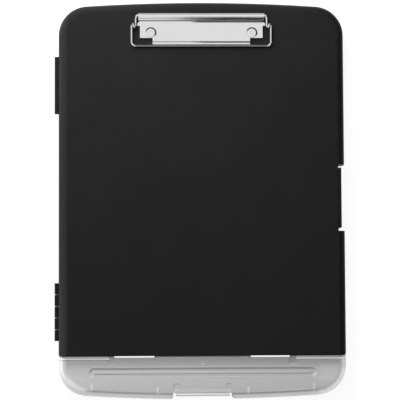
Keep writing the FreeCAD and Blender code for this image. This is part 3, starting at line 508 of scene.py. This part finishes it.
def clip_shade_and_reflection(x, y):
    """The share of painted shade and dark reflection on the clip's plate: at its seam, crease and lip,
    below the crease towards the right, and in arcs on the upper side of its rivets.
    """
    seam = y.near(HALF_LENGTH - SEAM_DROP, 0.35 * MM, 0.3 * MM) * SEAM_DARK
    crease = y.near(HALF_LENGTH - CREASE_DROP - 0.2 * MM, 0.45 * MM, 0.3 * MM) * CREASE_DARK
    below = y.near(HALF_LENGTH - CREASE_DROP - 0.85 * MM, 0.85 * MM, 0.4 * MM)
    below = below * x.fade(*BELOW_FADE) * BELOW_DARK
    lip = y.near(HALF_LENGTH - LIP_LINE_DROP, 0.6 * MM, 0.35 * MM) * x.fade(*LIP_FADE) * LIP_DARK
    dark = most_of(crease, below, seam, lip)
    for side in (-1, 1):
        across = x - side * RIVET_SPREAD
        along = y - (HALF_LENGTH - RIVET_DROP)
        radius = (across * across + along * along).root()
        ring = radius.near(RIVET_RADIUS + 0.1 * MM, 0.6 * MM, 0.3 * MM)
        far_side = (across * 0.5 + along).fade(*FAR_SIDE_FADE)
        dark = dark.most(ring * far_side * RING_DARK)
    return dark


def bar_dark_reflection(x, y):
    """The share of painted dark reflection on the lower half of the bail's bar, which looks dull in
    the photograph.
    """
    bar_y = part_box("clip_bail")[0][1] + WIRE_RADIUS
    lower = y.fade(bar_y + 0.9 * MM, bar_y + 0.2 * MM)
    return lower * abs(x).fade(*BAR_END_FADE) * BAR_DARK


def bright_steel(name, tone, rough_low, rough_high, streak, painted_dark=None):
    """Steel with faint marks along X; painted_dark is a function that gives its share of painted shade
    and dark reflection.
    """
    material, tree, output = new_material(name)
    coordinates, (x, y, _) = surface_place(tree)
    shader = node(tree, "ShaderNodeBsdfPrincipled", Metallic=1.0)
    marks = noise(tree, coordinates, STEEL_MARK, detail=4.0, stretch=(streak, 1.0, 1.0))
    colour = ramp(marks, [(0.3, tuple(0.95 * part for part in tone)), (0.7, tone)])
    if painted_dark:
        # Painted shade and dark reflection, blended towards near black
        colour = blended(tree, painted_dark(x, y), colour, (0.03, 0.03, 0.03))
    tree.links.new(colour, shader.inputs["Base Color"])
    tree.links.new(ramp(marks, [(0.3, rough_low), (0.7, rough_high)]), shader.inputs["Roughness"])
    fine = soft_normal(tree, marks, STEEL_MARK_DEPTH, 0.2, STEEL_EDGE)
    tree.links.new(fine, shader.inputs["Normal"])
    tree.links.new(shader.outputs["BSDF"], output.inputs["Surface"])
    return material


def paint(names, material):
    """Gives CAD nodes one material."""
    for name in names:
        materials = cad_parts[name].data.materials
        materials.clear()
        materials.append(material)


# Spring coils, in the part's own sizes

COIL_AXIS_Y = 146.8 * MM
COIL_AXIS_Z = 25.25 * MM
COIL_RADIUS = 1.3 * MM
COIL_INNER = 55.5 * MM
COIL_OUTER = 59.0 * MM
COIL_END = 2.0 * MM
COIL_STEPS = 48
END_STEPS = 4
RING_SIDES = 16


def coil_point(side, share):
    """The wire's middle at a share of the one turn."""
    turn = 2 * math.pi * share
    return Vector((
        side * (COIL_INNER + (COIL_OUTER - COIL_INNER) * share),
        COIL_AXIS_Y - COIL_RADIUS * math.sin(turn),
        COIL_AXIS_Z - COIL_RADIUS * math.cos(turn),
    ))


def coil_path(side):
    """A straight end, one turn and the other straight end."""
    back = Vector((0, COIL_END / END_STEPS, 0))
    begin = coil_point(side, 0)
    end = coil_point(side, 1)
    path = [begin + back * step for step in range(END_STEPS, 0, -1)]
    path += [coil_point(side, step / COIL_STEPS) for step in range(COIL_STEPS + 1)]
    path += [end - back * step for step in range(1, END_STEPS + 1)]
    return path


def tube_mesh(name, path, radius):
    """A closed round tube whose rings keep X across the path."""
    vertices = []
    for index, point in enumerate(path):
        ahead = path[min(index + 1, len(path) - 1)] - path[max(index - 1, 0)]
        ahead.normalize()
        across = Vector((1, 0, 0)) - ahead * ahead.x
        across.normalize()
        over = ahead.cross(across)
        for corner in range(RING_SIDES):
            angle = 2 * math.pi * corner / RING_SIDES
            vertices.append(point + (across * math.cos(angle) + over * math.sin(angle)) * radius)
    faces = []
    for low in range(0, len(vertices) - RING_SIDES, RING_SIDES):
        high = low + RING_SIDES
        for corner in range(RING_SIDES):
            after = (corner + 1) % RING_SIDES
            faces.append((low + corner, low + after, high + after, high + corner))
    faces.append(tuple(reversed(range(RING_SIDES))))
    faces.append(tuple(range(len(vertices) - RING_SIDES, len(vertices))))
    mesh = bpy.data.meshes.new(name)
    mesh.from_pydata([tuple(vertex) for vertex in vertices], [], faces)
    mesh.shade_smooth()
    return mesh


def make_coil(name, side, replaced, material):
    """One spring coil, which turns from the lid's side to the bail's."""
    mesh = tube_mesh(name, coil_path(side), WIRE_RADIUS)
    mesh.materials.append(material)
    coil = bpy.data.objects.new(name, mesh)
    bpy.context.scene.collection.objects.link(coil)
    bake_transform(coil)
    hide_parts(replaced)


# Floor, flags, light and background, in metres and watts

FLOOR_REACH = 3.0
FLOOR_HEIGHT = -0.2 * MM
FLAG_LOW = 0.03
FLAG_HIGH = 0.7
FRONT_FLAG_Y = -0.45
FRONT_FLAG_LOW = 0.27
FRONT_FLAG_HIGH = 0.4
LAMP_PLACE = (-0.22, 0.45, 0.34)
LAMP_SIZE = 0.5
LAMP_WATTS = 8.6


def seen_directly(tree):
    """1 for rays from the camera, a mirror or a clear surface, and 0 for light on the object."""
    path = tree.nodes.new("ShaderNodeLightPath")
    camera, glossy, through = (
        Field(tree, path.outputs[name])
        for name in ("Is Camera Ray", "Is Glossy Ray", "Is Transmission Ray")
    )
    return camera.most(glossy).most(through)


def white_floor():
    """A pale floor that glows to the camera and to mirrors, and keeps a soft shadow."""
    material, tree, output = new_material("floor")
    plain = node(tree, "ShaderNodeBsdfDiffuse", Color=(0.78, 0.78, 0.78, 1.0))
    pale = node(tree, "ShaderNodeBsdfDiffuse", Color=(0.14, 0.14, 0.14, 1.0))
    glow = node(tree, "ShaderNodeEmission", Strength=0.93)
    both = tree.nodes.new("ShaderNodeAddShader")
    mix = tree.nodes.new("ShaderNodeMixShader")
    tree.links.new(pale.outputs["BSDF"], both.inputs[0])
    tree.links.new(glow.outputs["Emission"], both.inputs[1])
    tree.links.new(seen_directly(tree).socket, mix.inputs["Fac"])
    tree.links.new(plain.outputs["BSDF"], mix.inputs[1])
    tree.links.new(both.outputs["Shader"], mix.inputs[2])
    tree.links.new(mix.outputs["Shader"], output.inputs["Surface"])
    signs = ((-1, -1), (1, -1), (1, 1), (-1, 1))
    corners = [(FLOOR_REACH * x, FLOOR_REACH * y, FLOOR_HEIGHT) for x, y in signs]
    add_quad("floor", corners, material)


def add_quad(name, corners, material):
    """One four-cornered sheet of the studio."""
    mesh = bpy.data.meshes.new(name)
    mesh.from_pydata(corners, [], [(0, 1, 2, 3)])
    mesh.materials.append(material)
    sheet = bpy.data.objects.new(name, mesh)
    bpy.context.scene.collection.objects.link(sheet)
    return sheet


def dark_flags():
    """Black cards at the right, the back and the front, which only reflections show."""
    material, tree, output = new_material("flag")
    dull = node(tree, "ShaderNodeBsdfDiffuse", Color=(0.01, 0.01, 0.01, 1.0))
    tree.links.new(dull.outputs["BSDF"], output.inputs["Surface"])
    flags = {
        "right_flag": [
            (0.9, -0.5, FLAG_LOW), (0.9, 1.2, FLAG_LOW), (0.6, 1.2, FLAG_HIGH), (0.6, -0.5, FLAG_HIGH),
        ],
        "back_flag": [
            (-0.1, 1.1, FLAG_LOW), (1.0, 1.1, FLAG_LOW), (1.0, 1.0, FLAG_HIGH), (-0.1, 1.0, FLAG_HIGH),
        ],
        "front_flag": [
            (0.0, FRONT_FLAG_Y, FRONT_FLAG_LOW),
            (0.5, FRONT_FLAG_Y, FRONT_FLAG_LOW),
            (0.5, FRONT_FLAG_Y, FRONT_FLAG_HIGH),
            (0.0, FRONT_FLAG_Y, FRONT_FLAG_HIGH),
        ],
    }
    for name, corners in flags.items():
        flag = add_quad(name, corners, material)
        flag.visible_camera = False
        flag.visible_diffuse = False
        flag.visible_transmission = False
        flag.visible_shadow = False


def make_world():
    """Even pale light all round; white where the picture sees past the floor."""
    world = bpy.data.worlds.new("world")
    bpy.context.scene.world = world
    world.use_nodes = True
    tree = world.node_tree
    tree.nodes.clear()
    output = tree.nodes.new("ShaderNodeOutputWorld")
    light = node(tree, "ShaderNodeBackground", Color=(1.0, 1.0, 1.0, 1.0), Strength=0.2)
    white = node(tree, "ShaderNodeBackground", Color=(1.0, 1.0, 1.0, 1.0), Strength=1.0)
    mix = tree.nodes.new("ShaderNodeMixShader")
    tree.links.new(seen_directly(tree).socket, mix.inputs["Fac"])
    tree.links.new(light.outputs["Background"], mix.inputs[1])
    tree.links.new(white.outputs["Background"], mix.inputs[2])
    tree.links.new(mix.outputs["Shader"], output.inputs["Surface"])


def area_light(name, place, target, size, watts):
    """A soft square lamp turned to a point, which mirrors don't show."""
    data = bpy.data.lights.new(name, "AREA")
    data.shape = "SQUARE"
    data.size = size
    data.energy = watts
    lamp = bpy.data.objects.new(name, data)
    bpy.context.scene.collection.objects.link(lamp)
    lamp.visible_glossy = False
    lamp.location = place
    lamp.rotation_euler = (Vector(target) - Vector(place)).to_track_quat("-Z", "Y").to_euler()


bpy.context.scene.view_settings.view_transform = "Standard"
make_camera()
white_floor()
dark_flags()
make_world()
area_light("key", LAMP_PLACE, (0, 0, 0), LAMP_SIZE, LAMP_WATTS)

black = black_plastic()
frosted = frosted_plastic()
clip_steel = bright_steel("clip_steel", (0.74, 0.74, 0.745), 0.1, 0.18, 0.05, clip_shade_and_reflection)
wire_steel = bright_steel("wire_steel", (0.66, 0.66, 0.665), 0.1, 0.18, 0.05, bar_dark_reflection)
pin_steel = bright_steel("pin_steel", (0.5, 0.5, 0.51), 0.28, 0.4, 0.3)
paint(["base_tray", "lid", "side_latch"], black)
paint(["pen_tray", "pen_cover", "pen_cover_latch"], frosted)
paint(["clip_plate", "clip_rivet_left", "clip_rivet_right"], clip_steel)
paint(["clip_wire_bar", "clip_bail"], wire_steel)
paint(
    ["lid_hinge_pin_lower", "lid_hinge_pin_upper", "clip_washer_left", "clip_washer_right"],
    pin_steel,
)
make_coil("clip_coil_left", -1, "clip_spring_left", wire_steel)
make_coil("clip_coil_right", 1, "clip_spring_right", wire_steel)
